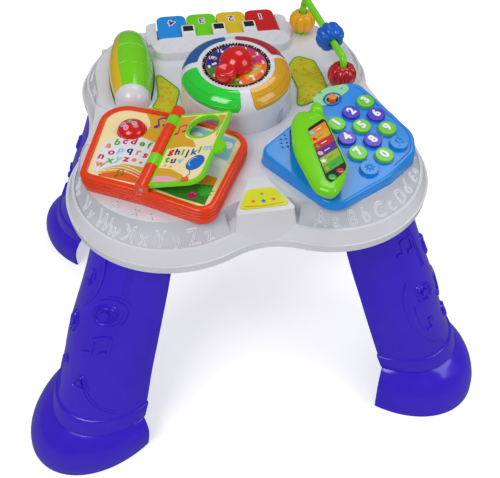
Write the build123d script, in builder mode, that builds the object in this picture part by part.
from build123d import *
from math import asin, atan2, cos, degrees, pi, radians, sin, sqrt
import os

os.makedirs("parts", exist_ok=True)

# Activity table in millimetres. The origin is on the floor in the middle of the four feet,
# X runs to the right, Y to the back and Z up. The child at the front stands at negative Y.

# Shared sizes
wall = 2.6
overrun = 2.0
seat_gap = 0.2
running_gap = 0.05

# Table top, seen from above: four round lobes joined by hollow waists
top_height = 308.0
front_lobe_x = 73.5
front_lobe_y = -83.9
front_lobe_radius = 104.3
back_lobe_x = 69.4
back_lobe_y = 82.3
back_lobe_radius = 97.2
front_waist_radius = 70.8
side_waist_radius = 149.7
back_waist_radius = 200.0

# Table top, seen from the side: lip, skirt, crest, sunk letter band and raised plateau
lip_height = 8.0
skirt_height = 12.0
skirt_step = 1.5
crest_inset = 8.0
crest_width = 2.5
band_depth = 1.6
plateau_rise = 13.0
plateau_slope = 4.0
plateau_front_radius = 91.0
plateau_back_radius = 82.0
plateau_side_waist_radius = 300.0
plateau_front_waist_radius = 60.0
plateau_back_waist_radius = 200.0
plateau_front_y = -70.0

lip_top = top_height + lip_height
crest_top = lip_top + skirt_height
band_floor = crest_top - band_depth
plateau_top = band_floor + plateau_rise

# Front bridge between the two front lobes
bridge_half_width = 30.0
bridge_taper = 3.0
bridge_front_y = -171.0
bridge_front_slope = 8.0
bridge_tip_half_width = 11.0
bridge_back_y = -114.0
bridge_back_slope = 5.0
bridge_rise = 6.0
bridge_round = 3.0

# Keyboard housing at the back, with its bar and the well of the keys
housing_half_width = 87.0
bar_front_y = 92.0
housing_overlap = 7.0
housing_back_y = 174.0
housing_rise = 2.4
housing_round = 10.0
bar_half_width = 80.0
bar_depth = 33.0
bar_rise = 9.0
key_count = 4
key_pitch = 36.8
key_gap = 0.8
key_length = 58.0
key_thickness = 8.5
key_top_rise = 5.0
key_travel = 3.5
key_wall = 2.4
key_corner = 9.0
key_edge = 2.0
key_front_gap = 1.5
key_pin_radius = 1.5
key_pin_offset = 5.0
key_pin_depth = 5.0
black_key_size = 12.0
black_key_height = 1.6
black_tab_border = 2.0
black_tab_thickness = 3.0
black_tab_gap = 1.0
black_tab_length = 24.0

# Underside: cover, battery door, board, speaker and screws
cover_thickness = 3.0
door_width = 104.0
door_depth = 66.0
door_thickness = 1.8
door_pocket = 2.0
board_width = 90.0
board_depth = 64.0
board_thickness = 1.6
board_post_height = 5.0
board_post_radius = 3.0
board_post_inset = 6.0
speaker_x = 62.0
speaker_y = -118.0
speaker_radius = 20.0
speaker_magnet_radius = 9.0
speaker_frame_height = 3.0
speaker_height = 9.0
screw_head_radius = 3.4
screw_head_height = 1.6
screw_radius = 1.5
screw_length = 14.0
boss_radius = 4.6
screw_side_x = 125.0
screw_side_y = 4.0
screw_front_x = 60.0
screw_front_y = -150.0
screw_centre_front_y = -80.0
screw_centre_back_y = 104.0

# Legs: half-round shells, open inwards, that lean out towards the feet
foot_x = 195.6
foot_y = 149.8
leg_turn = 36.8
foot_half_width = 80.0
foot_reach = 104.5
leg_lean = 112.0
leg_wall = 3.0
leg_cap = 4.0
collar_proud = 2.4
collar_tilt = 0.12

# Dial dome
dial_y = 1.6
dial_rise = 76.2
dial_height = top_height + dial_rise
dial_tilt = 5.9
dome_foot_radius = 62.0
dome_foot_depth = 54.0
dome_side_radius = 56.0
dome_bulge = 1.6
shoulder_radius = 18.0
shoulder_depth = 17.0
dial_seat_radius = 34.3
dial_seat_depth = 2.2
dial_floor = 2.4
ring_outer_radius = 33.8
ring_inner_radius = 30.6
ring_height = 2.4
ring_teeth = 80
tooth_width_share = 0.45
tooth_depth = 1.0
tooth_length = 1.6
face_radius = 30.3
face_thickness = 1.6
lens_inner_radius = 38.6
lens_outer_radius = 55.3
lens_corner = 3.0
lens_gap = 0.15
lens_proud = 0.8
lens_thickness = 2.2
knob_radius = 17.5
knob_height = 16.0
knob_lobe_radius = 10.5
knob_lobe_distance = 21.5
knob_lobe_height = 9.0
knob_lobe_angle = 232.0
knob_dimple_radius = 7.0
knob_dimple_depth = 1.6
knob_lift = 0.3
knob_post_radius = 4.0
knob_post_length = 7.0

# Roller on the left
roller_x = -107.0
roller_rise = 4.0
roller_front_y = 20.0
roller_length = 104.0
roller_mid_radius = 24.0
roller_end_radius = 18.0
roller_groove = 1.7
roller_groove_share = 0.17
axle_radius = 3.0
panel_thickness = 1.4
panel_angle = 64.0
panel_start = 118.0
roller_slot_gap = 1.2
hub_radius = 18.5
hub_length = 18.0
back_hub_length = 14.0
hub_gap = 0.5

# Rod with beads on the right
rod_radius = 3.75
rod_back_x = 100.0
rod_back_y = 130.0
rod_back_rise = 45.0
rod_front_x = 116.5
rod_front_y = 14.5
rod_front_rise = 32.0
rod_back_bend = 12.0
rod_front_bend = 7.0
rod_boss_radius = 7.5
rod_boss_height = 2.5
rod_boss_taper = 30.0
bead_radius = 15.6
bead_half_height = 11.5
bead_end_radius = 9.5
bead_bore_gap = 0.08
bead_flutes = 5
flute_radius = 3.0
flute_ring_radius = 17.0
yellow_bead_rise = 15.0
blue_bead_share = 0.66

# Book on the front left: u runs across the spine, w along it
book_x = -83.0
book_y = -82.0
book_turn = -21.7
book_height = 17.0
book_rim = 5.5
book_recess = 3.0
book_edge = 2.5
sheet_thickness = 0.5
page_reach = 60.0
spine_reach = 52.0
knuckle_radius = 6.5
knuckle_rise = 2.2
spine_half_width = 7.0
spine_pin_radius = 1.6
page_thickness = 3.0
page_lift = 17.0
page_round = 14.0
page_corner = 4.0
page_side_gap = 0.9
page_hole_radius = 15.0
page_ring_width = 2.2
page_ring_rise = 1.0
page_tab_radius = 8.0
page_tab_share = -0.12
page_sheet_inset = 3.5
book_button_radius = 13.8
book_button_u = 37.0
book_button_w = 24.0
book_button_dome = 9.5
book_button_travel = 2.0
book_button_skirt = 6.0
button_gap = 0.3

# Phone panel on the front right
phone_x = 85.0
phone_y = -80.0
phone_half_width = 80.0
phone_half_depth = 90.0
phone_loft_height = 28.0
deck_centre_rise = 16.4
deck_slope_back = 0.10
deck_slope_right = 0.02
deck_wall = 2.8
phone_edge = 3.0
pad_x = 108.8
pad_y = -79.4
pad_row_x = 18.2
pad_row_y = 13.0
pad_column_x = 5.0
pad_column_y = -19.8
phone_button_radius = 8.7
phone_button_stand = 3.6
phone_button_skirt = 5.5
phone_button_travel = 2.0
phone_button_edge = 0.8
bezel_width = 1.2
bezel_height = 0.8
grille_hole_radius = 1.1
grille_x = 34.0
grille_y = -87.0
grille_spacing = 5.0

# Handset
handset_x = 56.0
handset_y = -112.0
handset_turn = -2.0
handset_half_width = 22.0
handset_half_length = 58.0
handset_top_rise = 29.6
handset_floor_rise = 13.0
handset_edge = 3.0
cradle_gap = 0.5
screen_depth = 0.8

# Power switch
switch_x = 91.0
switch_y = -36.5
switch_knob_radius = 4.0
switch_knob_height = 4.0
switch_slot_width = 4.6
switch_slot_length = 13.0
switch_plate_thickness = 1.0
switch_turn = 30.0

# Printed patches and the front label
patch_thickness = 0.8
label_thickness = 1.0
label_round = 7.0


def waist_centre(first, second, waist_radius):
    """Centre of the hollow arc that touches two lobes from outside."""
    ax, ay, ar = first
    bx, by, br = second
    span = sqrt((bx - ax) ** 2 + (by - ay) ** 2)
    near = ar + waist_radius
    far = br + waist_radius
    along = (near**2 - far**2 + span**2) / (2 * span)
    side = sqrt(near**2 - along**2)
    ex = (bx - ax) / span
    ey = (by - ay) / span
    return (ax + ex * along + ey * side, ay + ey * along - ex * side)


def arc_points(centre, radius, start, end):
    """Start, middle and end of an arc, from angles in radians."""
    angles = (start, (start + end) / 2, end)
    return [(centre[0] + radius * cos(a), centre[1] + radius * sin(a)) for a in angles]


def outline_arcs(plan, inset):
    """The eight tangent arcs of a lobed outline, drawn in by the inset."""
    lobes, waists = plan
    centres = [waist_centre(lobes[i], lobes[(i + 1) % 4], waists[i]) for i in range(4)]
    arcs = []
    for i in range(4):
        x, y, radius = lobes[i]
        before = centres[i - 1]
        after = centres[i]
        start = atan2(before[1] - y, before[0] - x)
        end = atan2(after[1] - y, after[0] - x)
        if end < start:
            end += 2 * pi
        arcs.append(arc_points((x, y), radius - inset, start, end))
        next_x, next_y, _ = lobes[(i + 1) % 4]
        start = atan2(y - after[1], x - after[0])
        end = atan2(next_y - after[1], next_x - after[0])
        if end > start:
            end -= 2 * pi
        arcs.append(arc_points(after, waists[i] + inset, start, end))
    return arcs


def lobed_body(plan, levels):
    """A solid through lobed outlines, given as pairs of height and inset."""
    with BuildPart() as body:
        for height, inset in levels:
            with BuildSketch(Plane.XY.offset(height)):
                with BuildLine():
                    for start, middle, end in outline_arcs(plan, inset):
                        ThreePointArc(start, middle, end)
                make_face()
        loft(ruled=True)
    return body.part


def block(low, high, corner):
    """An upright block between two corners, with rounded upright edges."""
    with BuildPart() as body:
        with BuildSketch(Plane.XY.offset(low[2])):
            with Locations(((low[0] + high[0]) / 2, (low[1] + high[1]) / 2)):
                if corner:
                    RectangleRounded(high[0] - low[0], high[1] - low[1], corner)
                else:
                    Rectangle(high[0] - low[0], high[1] - low[1])
        extrude(amount=high[2] - low[2])
    return body.part


def corners_at(shares, half_width, half_depth, x=0, y=0):
    """Outline corners from shares of a half width and a half depth."""
    return [(x + sx * half_width, y + sy * half_depth) for sx, sy in shares]


def rounded_face(corners, radii):
    """A closed outline with its own rounding at each corner."""
    with BuildSketch() as face:
        with BuildLine():
            FilletPolyline(*corners, radius=radii, close=True)
        make_face()
    return face.sketch


table_plan = (
    [
        (-front_lobe_x, front_lobe_y, front_lobe_radius),
        (front_lobe_x, front_lobe_y, front_lobe_radius),
        (back_lobe_x, back_lobe_y, back_lobe_radius),
        (-back_lobe_x, back_lobe_y, back_lobe_radius),
    ],
    [front_waist_radius, side_waist_radius, back_waist_radius, side_waist_radius],
)
plateau_plan = (
    [
        (-front_lobe_x, plateau_front_y, plateau_front_radius),
        (front_lobe_x, plateau_front_y, plateau_front_radius),
        (back_lobe_x, back_lobe_y, plateau_back_radius),
        (-back_lobe_x, back_lobe_y, plateau_back_radius),
    ],
    [
        plateau_front_waist_radius,
        plateau_side_waist_radius,
        plateau_back_waist_radius,
        plateau_side_waist_radius,
    ],
)

# Places that several pieces share
bridge_top = plateau_top + bridge_rise
housing_top = plateau_top + housing_rise
bar_top = plateau_top + bar_rise
bar_back_y = bar_front_y + bar_depth
housing_front_y = bar_back_y - housing_overlap
key_front_y = bar_back_y + key_front_gap
key_back_y = key_front_y + key_length
key_top = plateau_top + key_top_rise
key_bottom = key_top - key_thickness
key_well_floor = key_bottom - key_travel - key_gap
keys_half_width = key_count * key_pitch / 2 + key_gap
key_pin_y = key_front_y + key_pin_offset
key_pin_z = key_top - key_pin_depth
cover_top = top_height + cover_thickness
axle_z = plateau_top + roller_rise
axle_front_y = roller_front_y - hub_length / 2
axle_back_y = roller_front_y + roller_length + back_hub_length / 2
deck_centre = plateau_top + deck_centre_rise
deck_plane = Plane(
    origin=(phone_x, phone_y, deck_centre),
    x_dir=(1, 0, deck_slope_right),
    z_dir=(-deck_slope_right, -deck_slope_back, 1),
)
screw_places = [
    (screw_side_x, screw_side_y),
    (-screw_side_x, screw_side_y),
    (screw_front_x, screw_front_y),
    (-screw_front_x, screw_front_y),
    (0, screw_centre_front_y),
    (0, screw_centre_back_y),
]

# Table top shell: lip, skirt and plateau outside, and the same forms one wall smaller inside
lip = lobed_body(table_plan, [(top_height, 0), (lip_top, 0)])
skirt = lobed_body(table_plan, [(lip_top, skirt_step), (crest_top, crest_inset)])
band_cut = lobed_body(
    table_plan,
    [(band_floor, crest_inset + crest_width), (crest_top + overrun, crest_inset + crest_width)],
)
plateau = lobed_body(plateau_plan, [(band_floor, 0), (plateau_top, plateau_slope)])
lower_hollow = lobed_body(
    table_plan,
    [
        (top_height, skirt_step + wall),
        (lip_top, skirt_step + wall),
        (band_floor - wall, (skirt_step + crest_inset) / 2 + wall),
    ],
)
upper_hollow = lobed_body(
    plateau_plan, [(band_floor - wall, wall), (plateau_top - wall, plateau_slope + wall)]
)
housing = block(
    (-housing_half_width, housing_front_y, lip_top),
    (housing_half_width, housing_back_y, housing_top),
    housing_round,
)
housing_hollow = block(
    (-housing_half_width + wall, housing_front_y + wall, top_height),
    (housing_half_width - wall, housing_back_y - wall, key_well_floor - wall),
    housing_round - wall,
)
bar = block(
    (-bar_half_width, bar_front_y, plateau_top - wall),
    (bar_half_width, bar_back_y, bar_top),
    bar_depth / 2 - key_gap,
)
key_well = block(
    (-keys_half_width, bar_back_y, key_well_floor),
    (keys_half_width, key_back_y + overrun, bar_top),
    0,
)
black_tabs = [
    block(
        (
            i * key_pitch - black_key_size / 2 - black_tab_border,
            bar_back_y - bar_depth / 2,
            key_top + black_tab_gap,
        ),
        (
            i * key_pitch + black_key_size / 2 + black_tab_border,
            bar_back_y + black_tab_length,
            key_top + black_tab_gap + black_tab_thickness,
        ),
        black_tab_border,
    )
    for i in (-1, 0, 1)
]


def bridge_body(shrink, lowest):
    """The raised bridge between the front lobes: it narrows to the back, drawn in by the shrink."""
    with BuildPart() as body:
        for height, share in ((lowest, 0), (bridge_top - shrink, 1)):
            front = bridge_front_y + share * bridge_front_slope + shrink
            back = bridge_back_y - share * bridge_back_slope - shrink
            half = bridge_half_width - share * bridge_taper - shrink
            tip = bridge_tip_half_width - share * bridge_taper - shrink / 2
            with BuildSketch(Plane.XY.offset(height)):
                add(
                    rounded_face(
                        [(-half, front), (half, front), (tip, back), (-tip, back)],
                        [bridge_round, bridge_round, bridge_taper / 2, bridge_taper / 2],
                    )
                )
        loft(ruled=True)
    return body.part


bridge = bridge_body(0, lip_top)
bridge_hollow = bridge_body(wall, lip_top)

with BuildPart() as top_shell:
    add(lip)
    add(skirt)
    add(band_cut, mode=Mode.SUBTRACT)
    add(plateau)
    add(bridge)
    add(housing)
    add(bar)
    add(lower_hollow, mode=Mode.SUBTRACT)
    add(upper_hollow, mode=Mode.SUBTRACT)
    add(bridge_hollow, mode=Mode.SUBTRACT)
    add(housing_hollow, mode=Mode.SUBTRACT)
    add(key_well, mode=Mode.SUBTRACT)
    add(black_tabs)
    # Round cradle through which the roller turns
    with BuildSketch(Plane.XY.offset(cover_top)):
        with Locations((roller_x, roller_front_y + roller_length / 2)):
            Rectangle(
                2 * (roller_mid_radius + roller_slot_gap),
                roller_length + 2 * roller_slot_gap,
            )
    extrude(amount=bar_top - cover_top, mode=Mode.SUBTRACT)
    # Bosses for the cover's screws
    with BuildSketch(Plane.XY.offset(cover_top)):
        with Locations(*screw_places):
            Circle(boss_radius)
    extrude(amount=plateau_top - wall / 2 - cover_top)
    with BuildSketch(Plane.XY.offset(cover_top)):
        with Locations(*screw_places):
            Circle(screw_radius + running_gap)
    extrude(amount=screw_length, mode=Mode.SUBTRACT)
    # Pin of the keys, through both side walls of the well
    with BuildSketch(Plane.YZ.offset(-housing_half_width + wall)):
        with Locations((key_pin_y, key_pin_z)):
            Circle(key_pin_radius + running_gap)
    extrude(amount=2 * (housing_half_width - wall), mode=Mode.SUBTRACT)
top_shell.part.label = "top_shell"
export_step(top_shell.part, "parts/top_shell.step")

# Cover under the table top, with posts for the board and a pocket for the battery door
cover_inset = skirt_step + wall + seat_gap
cover_plate = lobed_body(table_plan, [(top_height, cover_inset), (cover_top, cover_inset)])
board_post_places = [
    (sx * (board_width / 2 - board_post_inset), sy * (board_depth / 2 - board_post_inset))
    for sx in (-1, 1)
    for sy in (-1, 1)
]
with BuildPart() as bottom_cover:
    add(cover_plate)
    with BuildSketch(Plane.XY.offset(cover_top)):
        with Locations(*board_post_places):
            Circle(board_post_radius)
    extrude(amount=board_post_height)
    with BuildSketch(Plane.XY.offset(top_height)):
        RectangleRounded(door_width, door_depth, 2 * wall)
    extrude(amount=door_pocket, mode=Mode.SUBTRACT)
    with BuildSketch(Plane.XY.offset(top_height)):
        with Locations(*screw_places):
            Circle(screw_radius + running_gap)
    extrude(amount=cover_thickness, mode=Mode.SUBTRACT)
    with BuildSketch(Plane.XY.offset(top_height)):
        with Locations(*screw_places):
            Circle(screw_head_radius + seat_gap)
    extrude(amount=screw_head_height, mode=Mode.SUBTRACT)
bottom_cover.part.label = "bottom_cover"
export_step(bottom_cover.part, "parts/bottom_cover.step")

with BuildPart() as battery_door:
    with BuildSketch(Plane.XY.offset(top_height + door_pocket - door_thickness)):
        RectangleRounded(door_width - 2 * seat_gap, door_depth - 2 * seat_gap, 2 * wall - seat_gap)
    extrude(amount=door_thickness)
battery_door.part.label = "battery_door"
export_step(battery_door.part, "parts/battery_door.step")

with BuildPart() as casing_screws:
    with BuildSketch(Plane.XY.offset(top_height)):
        with Locations(*screw_places):
            Circle(screw_head_radius)
    extrude(amount=screw_head_height)
    with BuildSketch(Plane.XY.offset(top_height + screw_head_height)):
        with Locations(*screw_places):
            Circle(screw_radius)
    extrude(amount=screw_length)
casing_screws.part.label = "casing_screws"
export_step(casing_screws.part, "parts/casing_screws.step")

with BuildPart() as circuit_board:
    with BuildSketch(Plane.XY.offset(cover_top + board_post_height)):
        Rectangle(board_width, board_depth)
    extrude(amount=board_thickness)
circuit_board.part.label = "circuit_board"
export_step(circuit_board.part, "parts/circuit_board.step")

with BuildPart() as speaker:
    with BuildSketch(Plane.XY.offset(cover_top)):
        with Locations((speaker_x, speaker_y)):
            Circle(speaker_magnet_radius)
    extrude(amount=speaker_height - speaker_frame_height)
    with BuildSketch(Plane.XY.offset(cover_top + speaker_height - speaker_frame_height)):
        with Locations((speaker_x, speaker_y)):
            Circle(speaker_radius)
    extrude(amount=speaker_frame_height)
speaker.part.label = "speaker"
export_step(speaker.part, "parts/speaker.step")

# Legs. Each station gives the height, the lean inwards, the half width and the depth as shares, how much
# of the collar's tilt its section takes, and how far it sways sideways, as a share of the half width.
foot_station_shares = [
    (0.0, 0.0, 1.0, 1.0, 0.0, 0.0),
    (0.058, 0.025, 0.985, 0.98, 0.2, 0.035),
    (0.117, 0.058, 0.91, 0.89, 0.6, 0.085),
    (0.162, 0.085, 0.755, 0.705, 1.0, 0.12),
]
stem_station_shares = [
    (0.162, 0.085, 0.74, 0.695, 1.0, 0.12),
    (0.237, 0.18, 0.735, 0.68, 1.0, 0.11),
    (0.38, 0.352, 0.697, 0.655, 0.7, 0.085),
    (0.52, 0.52, 0.665, 0.66, 0.4, 0.075),
    (0.763, 0.83, 0.56, 0.63, 0.1, 0.075),
    (1.0, 1.0, 0.52, 0.46, 0.0, 0.09),
]


def leg_plane(side_x, side_y, station):
    """The sketch plane of a leg's section: its own x points outwards."""
    height_share, lean_share, _, _, tilt_share, sway_share = station
    outward = Vector(side_x * cos(radians(leg_turn)), side_y * sin(radians(leg_turn)), 0)
    sideways = Vector(0, 0, 1).cross(outward)
    centre = Vector(side_x * foot_x, side_y * foot_y, top_height * height_share)
    tilt = collar_tilt * tilt_share
    return Plane(
        origin=centre - outward * (leg_lean * lean_share) + sideways * (foot_half_width * sway_share),
        x_dir=outward + Vector(0, 0, tilt),
        z_dir=Vector(0, 0, 1) - outward * tilt,
    )


def leg_loft(side_x, side_y, stations, grow, tail):
    """A half-round tapering body through the stations, with a tail inwards where it cuts."""
    with BuildPart() as body:
        for station in stations:
            half = foot_half_width * station[2] + grow
            depth = foot_reach * station[3] + grow
            with BuildSketch(leg_plane(side_x, side_y, station)):
                with BuildLine():
                    EllipticalCenterArc((0, 0), depth, half, start_angle=-90, arc_size=180)
                    if tail:
                        Polyline((0, half), (-tail, half), (-tail, -half), (0, -half))
                    else:
                        Line((0, half), (0, -half))
                make_face()
        loft(ruled=True)
    return body.part


leg_tail = foot_reach
collar_station_low = stem_station_shares[0]
collar_station_high = stem_station_shares[1]
# The hollow ends under the leg's cap, on the line between the last two stations
cap_share = 1 - leg_cap / top_height
below_cap, above_cap = stem_station_shares[-2:]
cap_blend = (cap_share - below_cap[0]) / (above_cap[0] - below_cap[0])
cap_station = tuple(low + (high - low) * cap_blend for low, high in zip(below_cap, above_cap))
hollow_station_shares = stem_station_shares[:-1] + [cap_station]
leg_names = {
    "leg_front_left": (-1, -1),
    "leg_front_right": (1, -1),
    "leg_back_left": (-1, 1),
    "leg_back_right": (1, 1),
}
for leg_name, (side_x, side_y) in leg_names.items():
    foot_outside = leg_loft(side_x, side_y, foot_station_shares, 0, 0)
    foot_inside = leg_loft(side_x, side_y, foot_station_shares, -leg_wall, leg_tail)
    stem_outside = leg_loft(side_x, side_y, stem_station_shares, 0, 0)
    stem_inside = leg_loft(side_x, side_y, hollow_station_shares, -leg_wall, leg_tail)
    collar = leg_loft(side_x, side_y, [collar_station_low, collar_station_high], collar_proud, 0)
    with BuildPart() as leg:
        add(foot_outside)
        add(stem_outside)
        add(collar)
        add(foot_inside, mode=Mode.SUBTRACT)
        add(stem_inside, mode=Mode.SUBTRACT)
    leg.part.label = leg_name
    export_step(leg.part, f"parts/{leg_name}.step")

# Dial dome. The dial plane leans towards the child; its section plane holds the dome's profile.
lean = radians(dial_tilt)
dial_plane = Plane(origin=(0, dial_y, dial_height), x_dir=(1, 0, 0), z_dir=(0, -sin(lean), cos(lean)))
dial_section = Plane(origin=(0, dial_y, dial_height), x_dir=(1, 0, 0), z_dir=(0, -cos(lean), -sin(lean)))
dial_axis = Axis((0, dial_y, dial_height), (0, -sin(lean), cos(lean)))
shoulder_x = dome_side_radius - shoulder_radius


def dome_profile(grow):
    """Points of the dome's outer line, grown outwards: foot, side, shoulder and top."""
    radius = shoulder_radius + grow
    diagonal = radius * cos(pi / 4)
    return {
        "foot": (dome_foot_radius + grow, -dome_foot_depth),
        "side_middle": (
            (dome_foot_radius + dome_side_radius) / 2 + grow - dome_bulge,
            -(dome_foot_depth + shoulder_depth) / 2,
        ),
        "side": (dome_side_radius + grow, -shoulder_depth),
        "shoulder_middle": (shoulder_x + diagonal, -shoulder_depth + diagonal),
        "top": (shoulder_x, -shoulder_depth + radius),
    }


outside = dome_profile(0)
inside = dome_profile(-wall)
window_line = dome_profile(lens_proud)
window_back = dome_profile(lens_proud - lens_thickness)
seat_z = outside["top"][1] - dial_seat_depth
lens_windows = {
    "lens_blue": (97, 168),
    "lens_red": (14, 83),
    "lens_green": (180, 266),
    "lens_orange": (-80, 6),
}


def window_face(start, end, shrink):
    """A round-cornered sector of the lens band, seen along the dial's axis."""
    inner = lens_inner_radius + shrink
    outer = lens_outer_radius - shrink
    spare = degrees(shrink / lens_inner_radius)
    with BuildSketch() as face:
        with BuildLine():
            inner_arc = CenterArc((0, 0), inner, start + spare, end - start - 2 * spare)
            outer_arc = CenterArc((0, 0), outer, start + spare, end - start - 2 * spare)
            Line(inner_arc @ 0, outer_arc @ 0)
            Line(inner_arc @ 1, outer_arc @ 1)
        make_face()
        fillet(face.vertices(), lens_corner - shrink)
    return face.sketch


with BuildPart() as dial_collar:
    with BuildSketch(dial_section):
        with BuildLine():
            Polyline(
                (0, seat_z - dial_floor),
                (0, seat_z),
                (dial_seat_radius, seat_z),
                (dial_seat_radius, outside["top"][1]),
                outside["top"],
            )
            ThreePointArc(outside["top"], outside["shoulder_middle"], outside["side"])
            ThreePointArc(outside["side"], outside["side_middle"], outside["foot"])
            Line(outside["foot"], inside["foot"])
            ThreePointArc(inside["foot"], inside["side_middle"], inside["side"])
            ThreePointArc(inside["side"], inside["shoulder_middle"], inside["top"])
            Polyline(inside["top"], (shoulder_x, seat_z - dial_floor), (0, seat_z - dial_floor))
        make_face()
    revolve(axis=dial_axis)
    for start, end in lens_windows.values():
        with BuildSketch(dial_plane.offset(-shoulder_depth - overrun)):
            add(window_face(start, end, 0))
        extrude(amount=shoulder_depth + 2 * overrun, mode=Mode.SUBTRACT)
    with BuildSketch(dial_plane.offset(seat_z - dial_floor)):
        Circle(knob_post_radius + running_gap)
    extrude(amount=dial_floor, mode=Mode.SUBTRACT)
    split(bisect_by=Plane.XY.offset(plateau_top), keep=Keep.TOP)
dial_collar.part.label = "dial_collar"
export_step(dial_collar.part, "parts/dial_collar.step")

for lens_name, (start, end) in lens_windows.items():
    with BuildPart() as lens:
        with BuildSketch(dial_section):
            with BuildLine():
                ThreePointArc(window_line["top"], window_line["shoulder_middle"], window_line["side"])
                Line(window_line["side"], window_back["side"])
                ThreePointArc(window_back["side"], window_back["shoulder_middle"], window_back["top"])
                Line(window_back["top"], window_line["top"])
            make_face()
        revolve(axis=dial_axis)
        with BuildSketch(dial_plane.offset(-shoulder_depth - overrun)):
            add(window_face(start, end, lens_gap))
        extrude(amount=shoulder_depth + 2 * overrun, mode=Mode.INTERSECT)
    lens.part.label = lens_name
    export_step(lens.part, f"parts/{lens_name}.step")

with BuildPart() as dial_face:
    with BuildSketch(dial_plane.offset(seat_z)):
        Circle(face_radius)
        Circle(knob_post_radius + running_gap, mode=Mode.SUBTRACT)
    extrude(amount=face_thickness)
dial_face.part.label = "dial_face"
export_step(dial_face.part, "parts/dial_face.step")

with BuildPart() as dial_ring:
    with BuildSketch(dial_plane.offset(seat_z)):
        Circle(ring_outer_radius)
        Circle(ring_inner_radius, mode=Mode.SUBTRACT)
    extrude(amount=ring_height - tooth_depth)
    with BuildSketch(dial_plane.offset(seat_z + ring_height - tooth_depth)):
        with PolarLocations(ring_outer_radius - tooth_length / 2, ring_teeth):
            Rectangle(tooth_length, tooth_width_share * 2 * pi * ring_outer_radius / ring_teeth)
    extrude(amount=tooth_depth)
dial_ring.part.label = "dial_ring"
export_step(dial_ring.part, "parts/dial_ring.step")

# Knob: a dome with a finger lobe, on a post that turns in the face and the collar's floor
knob_bottom = seat_z + ring_height + knob_lift
lobe_x = knob_lobe_distance * cos(radians(knob_lobe_angle))
lobe_y = knob_lobe_distance * sin(radians(knob_lobe_angle))
lobe_section = Plane(
    origin=dial_plane.from_local_coords(Vector(lobe_x, lobe_y, 0)),
    x_dir=(1, 0, 0),
    z_dir=dial_section.z_dir,
)
lobe_top = knob_bottom + knob_lobe_height
lobe_shoulder = lobe_top - knob_lobe_radius + knob_dimple_radius
with BuildPart() as knob_lobe:
    with BuildSketch(lobe_section):
        with BuildLine():
            Polyline(
                (0, lobe_top - knob_dimple_depth),
                (0, knob_bottom),
                (knob_lobe_radius, knob_bottom),
                (knob_lobe_radius, lobe_shoulder),
            )
            CenterArc((knob_dimple_radius, lobe_shoulder), knob_lobe_radius - knob_dimple_radius, 0, 90)
            Line((knob_dimple_radius, lobe_top), (0, lobe_top - knob_dimple_depth))
        make_face()
    revolve(axis=Axis(lobe_section.origin, dial_axis.direction))
with BuildPart() as dial_knob:
    with BuildSketch(dial_section):
        with BuildLine():
            EllipticalCenterArc((0, knob_bottom), knob_radius, knob_height, start_angle=0, arc_size=90)
            Polyline(
                (0, knob_bottom + knob_height),
                (0, knob_bottom - knob_post_length),
                (knob_post_radius, knob_bottom - knob_post_length),
                (knob_post_radius, knob_bottom),
                (knob_radius, knob_bottom),
            )
        make_face()
    revolve(axis=dial_axis)
    add(knob_lobe.part)
dial_knob.part.label = "dial_knob"
export_step(dial_knob.part, "parts/dial_knob.step")

# Keys: hollow caps that rock on one pin in the keyboard housing
key_well_pin_reach = housing_half_width - wall
with BuildPart() as key_pin:
    with BuildSketch(Plane.YZ.offset(-key_well_pin_reach)):
        with Locations((key_pin_y, key_pin_z)):
            Circle(key_pin_radius)
    extrude(amount=2 * key_well_pin_reach)
key_pin.part.label = "key_pin"
export_step(key_pin.part, "parts/key_pin.step")

for i in range(key_count):
    key_x = (i - (key_count - 1) / 2) * key_pitch
    half = (key_pitch - key_gap) / 2
    hollow = block(
        (key_x - half + key_wall, key_pin_y + key_pin_radius + key_wall, key_bottom),
        (key_x + half - key_wall, key_back_y - key_wall, key_top - key_wall),
        key_corner - key_wall,
    )
    with BuildPart() as piano_key:
        with BuildSketch(Plane.XY.offset(key_bottom)) as key_outline:
            with Locations((key_x, (key_front_y + key_back_y) / 2)):
                Rectangle(2 * half, key_length)
            fillet(key_outline.vertices().group_by(Axis.Y)[-1], key_corner)
        extrude(amount=key_thickness)
        fillet(piano_key.faces().sort_by(Axis.Z)[-1].edges(), key_edge)
        add(hollow, mode=Mode.SUBTRACT)
        with BuildSketch(Plane.YZ.offset(key_x - half)):
            with Locations((key_pin_y, key_pin_z)):
                Circle(key_pin_radius + running_gap)
        extrude(amount=2 * half, mode=Mode.SUBTRACT)
    piano_key.part.label = f"piano_key_{i + 1}"
    export_step(piano_key.part, f"parts/piano_key_{i + 1}.step")

black_bottom = key_top + black_tab_gap + black_tab_thickness
black_key_y = bar_back_y + black_tab_length - black_tab_border - black_key_size / 2
with BuildPart() as black_keys:
    with BuildSketch(Plane.XY.offset(black_bottom)):
        with Locations(*[(j * key_pitch, black_key_y) for j in (-1, 0, 1)]):
            RectangleRounded(black_key_size, black_key_size, black_key_height)
    extrude(amount=black_key_height)
black_keys.part.label = "black_keys"
export_step(black_keys.part, "parts/black_keys.step")

# Roller: a barrel that turns on an axle between two white hubs
roller_plane = Plane(origin=(roller_x, roller_front_y, axle_z), x_dir=(1, 0, 0), z_dir=(0, 0, 1))
roller_axis = Axis((roller_x, roller_front_y, axle_z), (0, 1, 0))
groove_radius = roller_groove


def barrel_line(shrink):
    """Front end, middle and back end of the barrel's arched side."""
    return [
        (roller_end_radius - shrink, 0),
        (roller_mid_radius - shrink, roller_length / 2),
        (roller_end_radius - shrink, roller_length),
    ]


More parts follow.
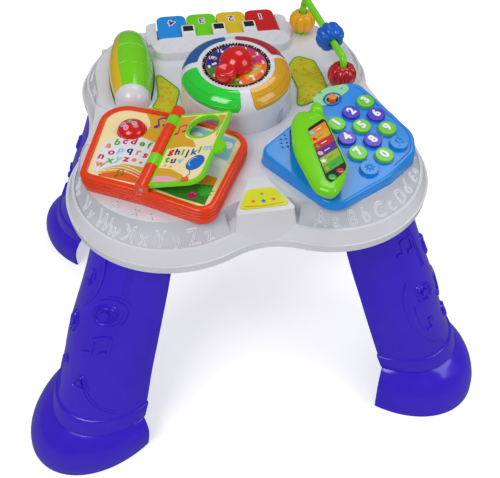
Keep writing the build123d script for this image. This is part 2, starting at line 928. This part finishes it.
panel_line = barrel_line(0)
core_line = barrel_line(panel_thickness)
bore_radius = axle_radius + running_gap
with BuildSketch(roller_plane) as barrel_skin:
    with BuildLine():
        ThreePointArc(*panel_line)
        Line(panel_line[2], core_line[2])
        ThreePointArc(core_line[2], core_line[1], core_line[0])
        Line(core_line[0], panel_line[0])
    make_face()
with BuildPart() as roller_panel:
    add(revolve(barrel_skin.sketch, axis=roller_axis, revolution_arc=panel_angle, mode=Mode.PRIVATE))
roller_panel_part = roller_panel.part.rotate(roller_axis, -panel_start - panel_angle)
roller_panel_part.label = "roller_panel"
export_step(roller_panel_part, "parts/roller_panel.step")

with BuildPart() as barrel_sector:
    add(revolve(barrel_skin.sketch, axis=roller_axis, revolution_arc=360 - panel_angle, mode=Mode.PRIVATE))
with BuildPart() as roller_barrel:
    with BuildSketch(roller_plane):
        with BuildLine():
            ThreePointArc(*core_line)
            Polyline(core_line[2], (bore_radius, roller_length), (bore_radius, 0), core_line[0])
        make_face()
    revolve(axis=roller_axis)
    add(barrel_sector.part.rotate(roller_axis, -panel_start))
    for share in (-1, 1):
        groove_y = roller_length * (1 / 2 + share * roller_groove_share)
        with BuildSketch(roller_plane):
            with Locations((roller_mid_radius, groove_y)):
                Circle(groove_radius)
        revolve(axis=roller_axis, mode=Mode.SUBTRACT)
roller_barrel.part.label = "roller_barrel"
export_step(roller_barrel.part, "parts/roller_barrel.step")

with BuildPart() as roller_axle:
    with BuildSketch(Plane.XZ.offset(-axle_front_y)):
        with Locations((roller_x, axle_z)):
            Circle(axle_radius)
    extrude(amount=-(axle_back_y - axle_front_y))
roller_axle.part.label = "roller_axle"
export_step(roller_axle.part, "parts/roller_axle.step")

hub_ends = [
    (-hub_gap, -hub_length, -hub_length / 2),
    (roller_length + hub_gap, back_hub_length, roller_length + back_hub_length / 2),
]
hub_halves = []
for hub_face, length, bore_end in hub_ends:
    cap_radius = (hub_radius**2 + length**2) / (2 * length)
    half_turn = asin(hub_radius / abs(cap_radius)) / 2
    cap_middle = (abs(cap_radius) * sin(half_turn), hub_face + length - cap_radius * (1 - cos(half_turn)))
    with BuildPart() as hub:
        with BuildSketch(roller_plane):
            with BuildLine():
                ThreePointArc((hub_radius, hub_face), cap_middle, (0, hub_face + length))
                Polyline(
                    (0, hub_face + length),
                    (0, bore_end),
                    (bore_radius, bore_end),
                    (bore_radius, hub_face),
                    (hub_radius, hub_face),
                )
            make_face()
        revolve(axis=roller_axis)
        split(bisect_by=Plane.XY.offset(plateau_top), keep=Keep.TOP)
    hub_halves.append(hub.part)
with BuildPart() as roller_hubs:
    add(hub_halves)
roller_hubs.part.label = "roller_hubs"
export_step(roller_hubs.part, "parts/roller_hubs.step")

# Rod in an arch, and the three fluted beads that turn on it
rod_points = [
    Vector(rod_back_x, rod_back_y, plateau_top),
    Vector(rod_back_x, rod_back_y, plateau_top + rod_back_rise),
    Vector(rod_front_x, rod_front_y, plateau_top + rod_front_rise),
    Vector(rod_front_x, rod_front_y, plateau_top),
]
with BuildPart() as bead_rod:
    with BuildLine() as rod_path:
        FilletPolyline(*rod_points, radius=[rod_back_bend, rod_front_bend])
    with BuildSketch(Plane.XY.offset(plateau_top)):
        with Locations((rod_back_x, rod_back_y)):
            Circle(rod_radius)
    sweep(path=rod_path.wire())
    with BuildSketch(Plane.XY.offset(plateau_top)):
        with Locations((rod_back_x, rod_back_y), (rod_front_x, rod_front_y)):
            Circle(rod_boss_radius)
    extrude(amount=rod_boss_height, taper=rod_boss_taper)
bead_rod.part.label = "bead_rod"
export_step(bead_rod.part, "parts/bead_rod.step")

rod_slope = (rod_points[2] - rod_points[1]).normalized()
red_bead_rise = rod_boss_height + bead_half_height + running_gap
bead_places = {
    "bead_yellow": Plane(
        origin=rod_points[0] + Vector(0, 0, yellow_bead_rise),
        x_dir=(1, 0, 0),
        z_dir=(0, 0, 1),
    ),
    "bead_blue": Plane(
        origin=rod_points[1] + (rod_points[2] - rod_points[1]) * blue_bead_share,
        x_dir=Vector(1, 0, 0).cross(rod_slope).cross(rod_slope),
        z_dir=rod_slope,
    ),
    "bead_red": Plane(
        origin=rod_points[3] + Vector(0, 0, red_bead_rise),
        x_dir=(1, 0, 0),
        z_dir=(0, 0, 1),
    ),
}
for bead_name, bead_plane in bead_places.items():
    bead_section = Plane(origin=bead_plane.origin, x_dir=bead_plane.x_dir, z_dir=-bead_plane.y_dir)
    bead_axis = Axis(bead_plane.origin, bead_plane.z_dir)
    with BuildPart() as bead:
        with BuildSketch(bead_section):
            with BuildLine():
                ThreePointArc(
                    (bead_end_radius, -bead_half_height),
                    (bead_radius, 0),
                    (bead_end_radius, bead_half_height),
                )
                Polyline(
                    (bead_end_radius, bead_half_height),
                    (rod_radius + bead_bore_gap, bead_half_height),
                    (rod_radius + bead_bore_gap, -bead_half_height),
                    (bead_end_radius, -bead_half_height),
                )
            make_face()
        revolve(axis=bead_axis)
        for turn in range(bead_flutes):
            spoke = radians(turn * 180 / bead_flutes)
            flute_plane = Plane(
                origin=bead_plane.origin,
                x_dir=bead_plane.x_dir * cos(spoke) + bead_plane.y_dir * sin(spoke),
                z_dir=bead_plane.z_dir,
            )
            with BuildSketch(flute_plane):
                with Locations((flute_ring_radius, 0)):
                    Circle(flute_radius)
            revolve(axis=Axis(bead_plane.origin, flute_plane.y_dir), mode=Mode.SUBTRACT)
    bead.part.label = bead_name
    export_step(bead.part, f"parts/{bead_name}.step")

# Book: tray with a rim, spine knuckles, two printed sheets, a button and a page that turns
book_top = plateau_top + book_height
hinge_z = book_top + knuckle_rise
book_plane = Plane(
    origin=(book_x, book_y, plateau_top),
    x_dir=(cos(radians(book_turn)), sin(radians(book_turn)), 0),
    z_dir=(0, 0, 1),
)
book_top_plane = book_plane.offset(book_height)
spine_plane = Plane(origin=(book_x, book_y, hinge_z), x_dir=book_plane.x_dir, z_dir=-book_plane.y_dir)
page_turned = radians(page_lift)
page_plane = Plane(
    origin=(book_x, book_y, hinge_z),
    x_dir=book_plane.x_dir * cos(page_turned) + Vector(0, 0, 1) * sin(page_turned),
    z_dir=Vector(0, 0, 1) * cos(page_turned) - book_plane.x_dir * sin(page_turned),
)
# Corners as shares of the page's reach (u) and the spine's reach (w), with their rounding as a share
left_corner_shares = [(-1.28, 1.16), (-1.02, -0.92), (0.0, -1.06), (0.0, 1.08)]
right_corner_shares = [(0.0, -1.06), (1.08, -1.32), (1.28, 0.76), (0.0, 1.08)]
left_round_shares = [0.42, 0.22, 0.0, 0.0]
right_round_shares = [0.0, 0.24, 0.34, 0.0]


def book_half(shares, rounds):
    """One half of the book's outline, in the book's own plane."""
    with BuildSketch() as face:
        with BuildLine():
            FilletPolyline(
                *corners_at(shares, page_reach, spine_reach),
                radius=[share * page_reach for share in rounds],
                close=True,
            )
        make_face()
    return face.sketch


def book_well(shares, rounds, inset):
    """A half's sunk well, drawn in from the rim and held off the spine."""
    side = 1 if shares[1][0] > 0 else -1
    spine_edge = spine_half_width + inset - book_rim
    with BuildSketch() as face:
        add(book_half(shares, rounds))
        offset(amount=-inset, kind=Kind.INTERSECTION)
        with Locations((-side * page_reach, 0)):
            Rectangle(2 * (page_reach + spine_edge), 4 * spine_reach, mode=Mode.SUBTRACT)
    return face.sketch


left_half = book_half(left_corner_shares, left_round_shares)
right_half = book_half(right_corner_shares, right_round_shares)
left_well = book_well(left_corner_shares, left_round_shares, book_rim)
right_well = book_well(right_corner_shares, right_round_shares, book_rim)
left_print = book_well(left_corner_shares, left_round_shares, book_rim + seat_gap)
right_print = book_well(right_corner_shares, right_round_shares, book_rim + seat_gap)
# Places along the spine, as shares of its reach: lime knuckles belong to the page
orange_knuckle_shares = [(0.82, 1.10), (-0.25, 0.57), (-1.06, -0.52)]
lime_knuckle_shares = [(0.57, 0.82), (-0.52, -0.25)]
button_centre = (-book_button_u, book_button_w)

with BuildPart() as book_base:
    with BuildSketch(book_plane):
        add(left_half)
        add(right_half)
    extrude(amount=book_height)
    fillet(book_base.faces().sort_by(Axis.Z)[-1].outer_wire().edges(), book_edge)
    with BuildSketch(book_top_plane):
        add(left_well)
        add(right_well)
    extrude(amount=-book_recess, mode=Mode.SUBTRACT)
    for low, high in orange_knuckle_shares:
        with BuildSketch(spine_plane.offset(-high * spine_reach)):
            Circle(knuckle_radius)
            with Locations((0, -knuckle_radius / 2)):
                Rectangle(2 * knuckle_radius, knuckle_radius)
        extrude(amount=(high - low) * spine_reach)
    for low, high in lime_knuckle_shares:
        with BuildSketch(spine_plane.offset(-high * spine_reach)):
            Circle(knuckle_radius + button_gap)
        extrude(amount=(high - low) * spine_reach, mode=Mode.SUBTRACT)
    with BuildSketch(spine_plane.offset(-2 * spine_reach)):
        Circle(spine_pin_radius + running_gap)
    extrude(amount=4 * spine_reach, mode=Mode.SUBTRACT)
    with BuildSketch(book_top_plane):
        with Locations(button_centre):
            Circle(book_button_radius + button_gap)
    extrude(amount=-book_recess - book_button_skirt - book_button_travel - button_gap, mode=Mode.SUBTRACT)
book_base.part.label = "book_base"
export_step(book_base.part, "parts/book_base.step")

sheet_plane = book_top_plane.offset(-book_recess)
with BuildPart() as book_left_sheet:
    with BuildSketch(sheet_plane):
        add(left_print)
        with Locations(button_centre):
            Circle(book_button_radius + 2 * button_gap, mode=Mode.SUBTRACT)
    extrude(amount=sheet_thickness)
book_left_sheet.part.label = "book_left_sheet"
export_step(book_left_sheet.part, "parts/book_left_sheet.step")

with BuildPart() as book_right_sheet:
    with BuildSketch(sheet_plane):
        add(right_print)
    extrude(amount=sheet_thickness)
book_right_sheet.part.label = "book_right_sheet"
export_step(book_right_sheet.part, "parts/book_right_sheet.step")

spine_low = orange_knuckle_shares[-1][0] * spine_reach
spine_high = orange_knuckle_shares[0][1] * spine_reach
with BuildPart() as spine_pin:
    with BuildSketch(spine_plane.offset(-spine_high)):
        Circle(spine_pin_radius)
    extrude(amount=spine_high - spine_low)
spine_pin.part.label = "spine_pin"
export_step(spine_pin.part, "parts/spine_pin.step")

with BuildPart() as book_button:
    with BuildSketch(sheet_plane.offset(-book_button_skirt)):
        with Locations(button_centre):
            Circle(book_button_radius)
    extrude(amount=book_button_skirt + sheet_thickness)
    button_top = sheet_plane.offset(sheet_thickness).from_local_coords(Vector(*button_centre, 0))
    button_section = Plane(origin=button_top, x_dir=book_plane.x_dir, z_dir=-book_plane.y_dir)
    with BuildSketch(button_section):
        with BuildLine():
            EllipticalCenterArc((0, 0), book_button_radius, book_button_dome, start_angle=0, arc_size=90)
            Polyline((0, book_button_dome), (0, 0), (book_button_radius, 0))
        make_face()
    revolve(axis=Axis(button_top, (0, 0, 1)))
book_button.part.label = "book_button"
export_step(book_button.part, "parts/book_button.step")

# Page corners: the outer lower corner is rounded more than the others
page_corner_shares = [(0.0, -1.0), (0.93, -1.0), (1.0, 0.86), (0.0, 0.92)]
page_inner = knuckle_radius - page_side_gap
page_outline_corners = [
    (page_inner if sx == 0 else sx * page_reach, sy * spine_reach) for sx, sy in page_corner_shares
]
page_radii = [page_corner / 2, page_round, page_corner, page_corner / 2]
page_half = page_thickness / 2
knuckle_arm = knuckle_radius / 2
hole_centre = (book_button_u, book_button_w)
with BuildPart() as book_page:
    with BuildSketch(page_plane.offset(-page_half)):
        with BuildLine():
            FilletPolyline(*page_outline_corners, radius=page_radii, close=True)
        make_face()
        with Locations((page_reach - page_tab_radius / 4, page_tab_share * spine_reach)):
            Circle(page_tab_radius)
        with Locations(hole_centre):
            Circle(page_hole_radius + page_ring_width)
            Circle(page_hole_radius, mode=Mode.SUBTRACT)
    extrude(amount=page_thickness)
    for low, high in orange_knuckle_shares:
        with BuildSketch(spine_plane.offset(-high * spine_reach - button_gap)):
            Circle(knuckle_radius + button_gap)
        extrude(amount=(high - low) * spine_reach + 2 * button_gap, mode=Mode.SUBTRACT)
    with BuildSketch(page_plane.offset(page_half)):
        with Locations(hole_centre):
            Circle(page_hole_radius + page_ring_width)
            Circle(page_hole_radius, mode=Mode.SUBTRACT)
    extrude(amount=page_ring_rise)
    for low, high in lime_knuckle_shares:
        with BuildSketch(spine_plane.offset(-high * spine_reach + button_gap)):
            Circle(knuckle_radius)
            with Locations((knuckle_arm * cos(page_turned), knuckle_arm * sin(page_turned))):
                Rectangle(knuckle_radius, page_thickness, rotation=page_lift)
        extrude(amount=(high - low) * spine_reach - 2 * button_gap)
    with BuildSketch(spine_plane.offset(-2 * spine_reach)):
        Circle(spine_pin_radius + running_gap)
    extrude(amount=4 * spine_reach, mode=Mode.SUBTRACT)
book_page.part.label = "book_page"
export_step(book_page.part, "parts/book_page.step")

with BuildPart() as page_sheet:
    with BuildSketch(page_plane.offset(page_half)):
        with BuildLine():
            FilletPolyline(*page_outline_corners, radius=page_radii, close=True)
        make_face()
        offset(amount=-page_sheet_inset, kind=Kind.INTERSECTION)
        with Locations(hole_centre):
            Circle(page_hole_radius + page_ring_width + seat_gap, mode=Mode.SUBTRACT)
    extrude(amount=sheet_thickness)
page_sheet.part.label = "page_sheet"
export_step(page_sheet.part, "parts/page_sheet.step")

# Phone panel: a tapering body with a sloping deck, round wells for the buttons and a cradle
phone_foot_shares = [
    (-1.0, -0.13),
    (-0.34, -1.01),
    (0.44, -0.69),
    (0.84, -0.42),
    (0.92, -0.14),
    (0.54, 0.79),
    (0.32, 0.79),
]
phone_deck_shares = [
    (-0.95, -0.12),
    (-0.35, -0.93),
    (0.40, -0.66),
    (0.80, -0.40),
    (0.88, -0.16),
    (0.49, 0.67),
    (0.31, 0.75),
]
phone_round_shares = [0.14, 0.24, 0.4, 0.2, 0.3, 0.16, 0.14]
handset_shares = [
    (-0.78, 0.68),
    (-0.36, 0.94),
    (0.82, 0.86),
    (0.88, -0.66),
    (0.10, -1.06),
    (-0.62, -0.90),
    (-1.04, 0.0),
]
handset_round_shares = [0.5, 0.3, 0.5, 0.7, 0.3, 0.4, 0.9]
screen_shares = [(-0.27, 0.42), (0.66, 0.62), (0.70, -0.58), (-0.18, -0.86)]
screen_round_shares = [0.14, 0.14, 0.14, 0.14]


phone_foot = rounded_face(
    corners_at(phone_foot_shares, phone_half_width, phone_half_depth, phone_x, phone_y),
    [share * phone_half_width for share in phone_round_shares],
)
phone_deck = rounded_face(
    corners_at(phone_deck_shares, phone_half_width, phone_half_depth, phone_x, phone_y),
    [share * phone_half_width for share in phone_round_shares],
)
phone_inside_foot = offset(phone_foot, amount=-deck_wall, kind=Kind.INTERSECTION)
phone_inside_deck = offset(phone_deck, amount=-deck_wall, kind=Kind.INTERSECTION)
handset_plane = Plane(
    origin=(handset_x, handset_y, plateau_top),
    x_dir=(cos(radians(handset_turn)), sin(radians(handset_turn)), 0),
    z_dir=(0, 0, 1),
)
handset_face = rounded_face(
    corners_at(handset_shares, handset_half_width, handset_half_length),
    [share * handset_half_width for share in handset_round_shares],
)
cradle_face = offset(handset_face, amount=cradle_gap)
screen_face = rounded_face(
    corners_at(screen_shares, handset_half_width, handset_half_length),
    [share * handset_half_width for share in screen_round_shares],
)
pad_names = ["1", "2", "3", "4", "5", "6", "7", "8", "9", "star", "0", "note"]
pad_places = {}
for i, pad_name in enumerate(pad_names):
    row, column = divmod(i, 3)
    x = pad_x + (column - 1) * pad_row_x + (row - 1) * pad_column_x
    y = pad_y + (column - 1) * pad_row_y + (row - 1) * pad_column_y
    pad_places[pad_name] = (x - phone_x, y - phone_y)
grille_shares = [(0, 2), (-1, 1), (0, 1), (-1, 0), (0, 0), (1, 0), (-1, -1), (0, -1), (1, -1)]
grille_places = [
    (grille_x + sx * grille_spacing - phone_x, grille_y + sy * grille_spacing - phone_y)
    for sx, sy in grille_shares
]
switch_centre = (switch_x - phone_x, switch_y - phone_y)
pad_depth = phone_button_skirt + phone_button_travel + button_gap

with BuildPart() as phone_body:
    with BuildSketch(Plane.XY.offset(plateau_top)):
        add(phone_foot)
    with BuildSketch(Plane.XY.offset(plateau_top + phone_loft_height)):
        add(phone_deck)
    loft(ruled=True)
    split(bisect_by=deck_plane, keep=Keep.BOTTOM)
    fillet(phone_body.faces().sort_by(Axis.Z)[-1].outer_wire().edges(), phone_edge)
with BuildPart() as phone_hollow:
    with BuildSketch(Plane.XY.offset(plateau_top)):
        add(phone_inside_foot)
    with BuildSketch(Plane.XY.offset(plateau_top + phone_loft_height)):
        add(phone_inside_deck)
    loft(ruled=True)
    split(bisect_by=deck_plane.offset(-deck_wall), keep=Keep.BOTTOM)

with BuildPart() as phone_base:
    add(phone_body.part)
    add(phone_hollow.part, mode=Mode.SUBTRACT)
    with BuildSketch(handset_plane.offset(handset_floor_rise - deck_wall)):
        add(offset(handset_face, amount=cradle_gap + deck_wall))
    extrude(amount=handset_top_rise - handset_floor_rise)
    add(phone_body.part, mode=Mode.INTERSECT)
    with BuildSketch(deck_plane):
        with Locations(*pad_places.values()):
            Circle(phone_button_radius + bezel_width)
    extrude(amount=bezel_height)
    with BuildSketch(handset_plane.offset(handset_floor_rise)):
        add(cradle_face)
    extrude(amount=handset_top_rise, mode=Mode.SUBTRACT)
    with BuildSketch(deck_plane.offset(-pad_depth)):
        with Locations(*pad_places.values()):
            Circle(phone_button_radius + button_gap)
    extrude(amount=pad_depth + 2 * bezel_height, mode=Mode.SUBTRACT)
    with BuildSketch(deck_plane.offset(-2 * deck_wall)):
        with Locations(*grille_places):
            Circle(grille_hole_radius)
        with Locations(switch_centre):
            SlotOverall(switch_slot_length, 2 * switch_slot_width, rotation=switch_turn)
    extrude(amount=4 * deck_wall, mode=Mode.SUBTRACT)
phone_base.part.label = "phone_base"
export_step(phone_base.part, "parts/phone_base.step")

for pad_name, place in pad_places.items():
    with BuildPart() as phone_button:
        with BuildSketch(deck_plane.offset(-phone_button_skirt)):
            with Locations(place):
                Circle(phone_button_radius)
        extrude(amount=phone_button_skirt + phone_button_stand)
        fillet(phone_button.edges().filter_by(GeomType.CIRCLE).sort_by(Axis.Z)[-1], phone_button_edge)
    phone_button.part.label = f"phone_button_{pad_name}"
    export_step(phone_button.part, f"parts/phone_button_{pad_name}.step")

# Handset: lies in the cradle and lifts straight off
handset_bottom = handset_floor_rise + seat_gap
with BuildPart() as handset:
    with BuildSketch(handset_plane.offset(handset_bottom)):
        add(handset_face)
    extrude(amount=handset_top_rise - handset_bottom)
    fillet(handset.faces().sort_by(Axis.Z)[-1].outer_wire().edges(), handset_edge)
    with BuildSketch(handset_plane.offset(handset_top_rise)):
        add(screen_face)
    extrude(amount=-screen_depth, mode=Mode.SUBTRACT)
handset.part.label = "handset"
export_step(handset.part, "parts/handset.step")

with BuildPart() as handset_screen:
    with BuildSketch(handset_plane.offset(handset_top_rise - screen_depth)):
        add(screen_face)
    extrude(amount=screen_depth / 2)
handset_screen.part.label = "handset_screen"
export_step(handset_screen.part, "parts/handset_screen.step")

# Switch: an oval plate on the deck with a slot, and the knob that slides in it
plate_shares = [(-0.17, 0.53), (0.04, 0.68), (0.33, 0.71), (0.34, 0.60), (-0.02, 0.40), (-0.14, 0.40)]
plate_round_shares = [0.06, 0.3, 0.06, 0.1, 0.2, 0.05]
plate_face = rounded_face(
    corners_at(plate_shares, phone_half_width, phone_half_depth),
    [share * phone_half_width for share in plate_round_shares],
)
with BuildPart() as switch_plate:
    with BuildSketch(deck_plane):
        add(plate_face)
        with Locations(switch_centre):
            SlotOverall(switch_slot_length, 2 * switch_slot_width, rotation=switch_turn, mode=Mode.SUBTRACT)
    extrude(amount=switch_plate_thickness)
switch_plate.part.label = "switch_plate"
export_step(switch_plate.part, "parts/switch_plate.step")

with BuildPart() as power_switch:
    with BuildSketch(deck_plane.offset(-deck_wall)):
        with Locations(switch_centre):
            Circle(switch_knob_radius)
    extrude(amount=deck_wall + switch_knob_height)
power_switch.part.label = "power_switch"
export_step(power_switch.part, "parts/power_switch.step")

# Printed patches beside the dome and the plate at the front
patch_left_shares = [
    (-0.79, 0.90),
    (-0.56, 0.42),
    (-0.62, 0.10),
    (-0.64, -0.26),
    (-0.86, 0.08),
    (-0.79, 0.30),
]
patch_right_shares = [
    (0.66, 0.74),
    (0.80, 1.02),
    (0.98, 0.84),
    (1.00, 0.42),
    (0.97, -0.02),
    (0.60, -0.22),
    (0.68, 0.20),
]
patch_left_round_shares = [0.04, 0.2, 0.3, 0.04, 0.04, 0.3]
patch_right_round_shares = [0.2, 0.1, 0.1, 0.5, 0.05, 0.05, 0.3]
patch_reach_x = 102.0
patch_reach_y = 78.0
patches = {
    "patch_left": (patch_left_shares, patch_left_round_shares),
    "patch_right": (patch_right_shares, patch_right_round_shares),
}
for patch_name, (shares, rounds) in patches.items():
    patch_face = rounded_face(
        corners_at(shares, patch_reach_x, patch_reach_y),
        [share * patch_reach_y for share in rounds],
    )
    with BuildPart() as patch:
        with BuildSketch(Plane.XY.offset(plateau_top)):
            add(patch_face)
        extrude(amount=patch_thickness)
    patch.part.label = patch_name
    export_step(patch.part, f"parts/{patch_name}.step")

label_shares = [(-0.76, 0.925), (-0.40, 0.79), (0.40, 0.79), (0.76, 0.925)]
label_face = rounded_face(
    [(sx * bridge_half_width, bridge_front_y * sy) for sx, sy in label_shares],
    [label_round / 2, label_round, label_round, label_round / 2],
)
with BuildPart() as front_label:
    with BuildSketch(Plane.XY.offset(bridge_top)):
        add(label_face)
    extrude(amount=label_thickness)
front_label.part.label = "front_label"
export_step(front_label.part, "parts/front_label.step")

print("table top", top_height, "to", bar_top, "dial", dial_height)
